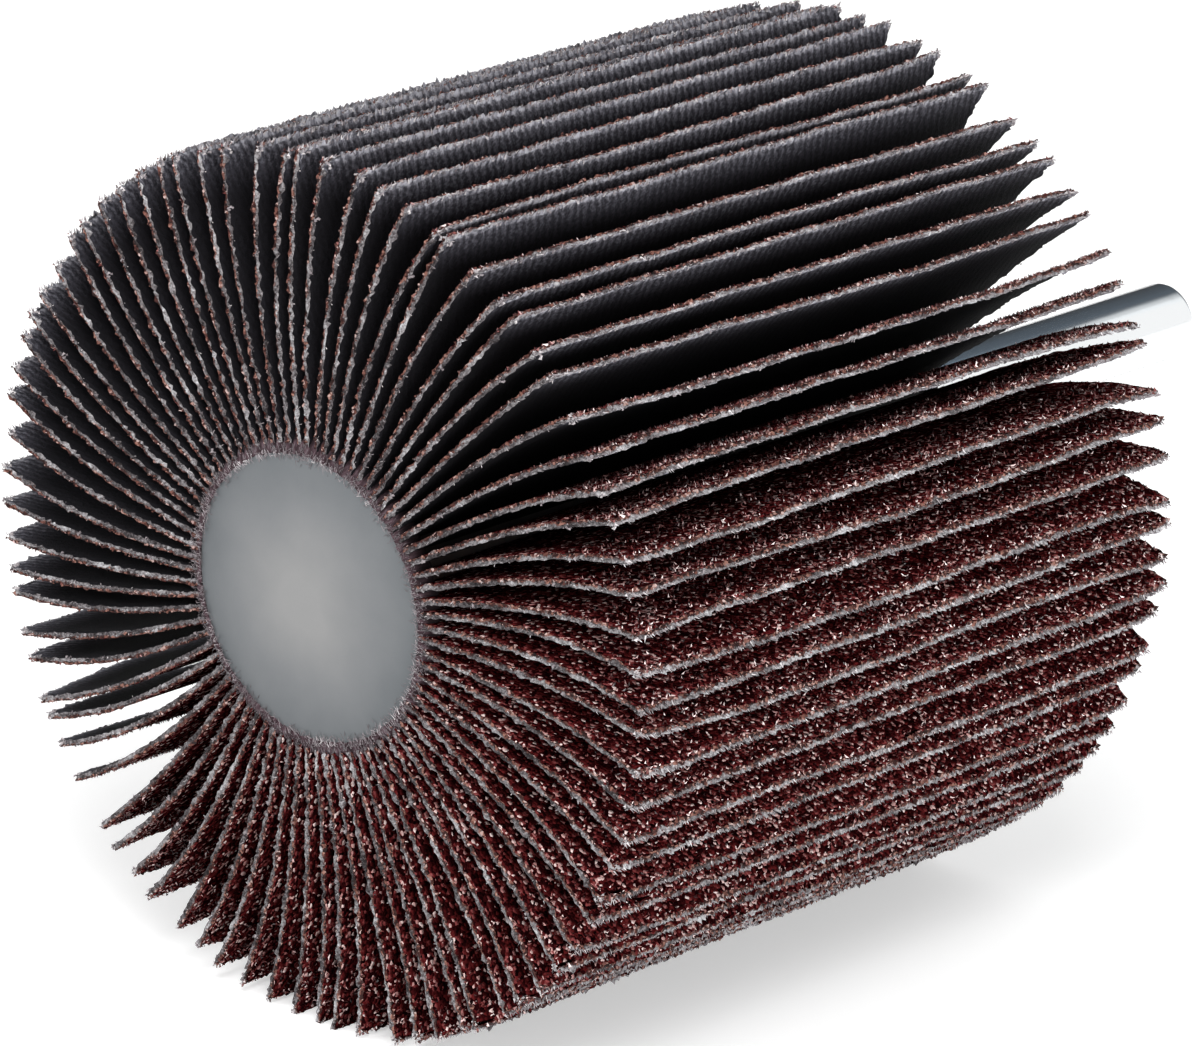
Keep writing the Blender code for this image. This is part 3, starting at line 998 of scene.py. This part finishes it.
def collar_lap(angle):
    """How much further the collar laps over the disc at an angle round the axis."""
    return COLLAR_LAP * math.sin(angle) ** 2


def collar_fibres(rng, plane, inward):
    """Short pale ends that lie over the disc's rim, most of them pointing to the axis."""
    for _ in range(COLLAR_FIBRES):
        angle = rng.uniform(0, 2 * math.pi)
        outward = Vector((math.cos(angle), 0, math.sin(angle)))
        past_edge = rng.gauss(0.15, 0.3)
        radius = COLLAR_INNER - collar_lap(angle) + past_edge * MM
        along = plane + inward * rng.uniform(-0.2, 0.12) * MM
        place = outward * radius + Vector((0, along, axis_height))
        lean = Vector([rng.gauss(0, 0.5) for _ in range(3)]) - outward * rng.uniform(0.2, 1.6)
        lean.y *= 0.15
        patch = 0.6 + 0.8 * noise.noise(3 * outward)
        paleness = max(0.2, patch) * math.exp(-(past_edge / 0.35) ** 2)
        yield (place, lean.to_track_quat("Z", "Y"), 0.06 * MM, rng.uniform(0.25, 0.6) * MM,
               FIBRE_SLOT, paleness * rng.random())


def collar(name, plane, inward):
    """A matted ring at one end; inward is the way into the pack along Y."""
    rng = random.Random(name)
    centre, half_width = (COLLAR_OUTER + COLLAR_INNER) / 2, (COLLAR_OUTER - COLLAR_INNER) / 2
    section = []
    for number in range(COLLAR_SIDES):
        angle = 2 * math.pi * number / COLLAR_SIDES
        slope = COLLAR_DEPTH_MM + COLLAR_SLOPE_MM * math.cos(angle)
        section.append((centre + half_width * math.cos(angle),
                        plane + inward * (slope - COLLAR_SWELL_MM * math.sin(angle)) * MM))
    ring = spun(name, section, COLLAR_STEPS)
    shape = bmesh.new()
    shape.from_mesh(ring.data)
    shape.faces.layers.float.new("tone")
    for vertex in shape.verts:
        radial = Vector((vertex.co.x, 0, vertex.co.z - axis_height))
        angle = math.atan2(radial.z, radial.x)
        share = (COLLAR_OUTER - radial.length) / (COLLAR_OUTER - COLLAR_INNER)
        clump = noise.noise(vertex.co / CLUMP_SIZE)
        vertex.co -= radial.normalized() * (collar_lap(angle) * share + COLLAR_CLUMP * clump)
        vertex.co += Vector([rng.gauss(0, COLLAR_ROUGHNESS_MM) * MM for _ in range(3)])
    unroll_ring(shape)
    shape.to_mesh(ring.data)
    shape.free()
    add_spikes(ring.data, collar_fibres(rng, plane, inward))
    ring.data.materials.append(matted)
    ring.data.materials.append(frayed_fibre)
    hand_over(ring, "flap_pack")
    print(f"{name}: {len(ring.data.polygons)} faces")


matted = matted_cotton()
collar("front_collar", front_plane, 1)
collar("rear_collar", rear_plane, -1)

# %% [markdown]
# The discs are pressed aluminium with a fine etched, satin skin. A satin metal is still a
# metal: what looks grey is the room, blurred. So its metallic value is 1 and its
# roughness is high, with a faint mottle, and it is painted a little paler at the crown, a
# painted highlight of its slight dome. The spindle is drawn steel, turned, ground and zinc
# plated, nearly a mirror.
# Both keep the form of their solids. But a solid's mesh is loose flat triangles, which a
# mirror finish would show as facets, so a copy has its points merged and is shaded smooth.

# %% Metal finishes
def etched_aluminium():
    """Etched aluminium: an even grey satin, its grain too fine to see one by one."""
    material, tree, shader = new_material("etched_aluminium_satin")
    place = add_node(tree, "ShaderNodeTexCoord")
    centred = add_node(tree, "ShaderNodeMapping",
                       {"Vector": place.outputs["Object"],
                        "Location": (0, 0, -axis_height / disc_radius),
                        "Scale": (1 / disc_radius, 0, 1 / disc_radius)})
    # Paler towards the crown: a painted highlight of the slight dome.
    painted_crown_highlight = add_node(tree, "ShaderNodeTexGradient", {"Vector": centred.outputs[0]},
                      gradient_type="SPHERICAL")
    cloud = add_node(tree, "ShaderNodeTexNoise",
                     {"Vector": place.outputs["Object"], "Scale": 1 / (4 * MM), "Detail": 6.0})
    shade = add_node(tree, "ShaderNodeMath",
                     {0: cloud.outputs["Fac"], 1: 0.35, 2: painted_crown_highlight.outputs["Fac"]},
                     operation="MULTIPLY_ADD")
    ramp = add_node(tree, "ShaderNodeValToRGB", {"Fac": shade.outputs[0]},
                    stops=[(0.12, "#64686b"), (0.55, "#7a7c7e"), (1.0, "#8f8f8f")])
    grain = add_node(tree, "ShaderNodeTexNoise",
                     {"Vector": place.outputs["Object"], "Scale": 1 / (0.25 * MM), "Detail": 2.0})
    bump = add_node(tree, "ShaderNodeBump",
                    {"Height": grain.outputs["Fac"], "Strength": 0.3, "Distance": 0.03 * MM})
    feed(shader, {"Base Color": ramp.outputs[0], "Normal": bump.outputs[0],
                  "Metallic": 1.0, "Roughness": 0.55})
    return material


def zinc_plated_steel():
    """Bright zinc on ground steel: nearly a mirror, slightly dappled by the plating."""
    material, tree, shader = new_material("drawn_steel_bright_zinc")
    place = add_node(tree, "ShaderNodeTexCoord")
    dapple = add_node(tree, "ShaderNodeTexNoise",
                      {"Vector": place.outputs["Object"], "Scale": 1 / (2.4 * MM), "Detail": 2.0})
    bump = add_node(tree, "ShaderNodeBump",
                    {"Height": dapple.outputs["Fac"], "Strength": 0.3, "Distance": 0.05 * MM})
    feed(shader, {"Base Color": linear("#f4f6f7"), "Normal": bump.outputs[0],
                  "Metallic": 1.0, "Roughness": 0.15})
    return material


# %% Smooth copies of the discs and the spindle
def smooth_copy(node, material):
    """A node's own form as one smooth mesh, which replaces it."""
    shape = bmesh.new()
    shape.from_mesh(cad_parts[node].data)
    bmesh.ops.remove_doubles(shape, verts=shape.verts, dist=MERGE_DISTANCE)
    bmesh.ops.recalc_face_normals(shape, faces=shape.faces)
    mesh = mesh_from(shape, node + "_finished")
    if "custom_normal" in mesh.attributes:
        mesh.attributes.remove(mesh.attributes["custom_normal"])
    mesh.shade_smooth()
    mesh.set_sharp_from_angle(angle=SHARP_FROM)
    mesh.materials.clear()
    mesh.materials.append(material)
    hand_over(new_object(mesh.name, mesh), node)
    print(f"{mesh.name}: {len(mesh.polygons)} faces")


satin = etched_aluminium()
smooth_copy("front_disc", satin)
smooth_copy("rear_disc", satin)
smooth_copy("spindle", zinc_plated_steel())
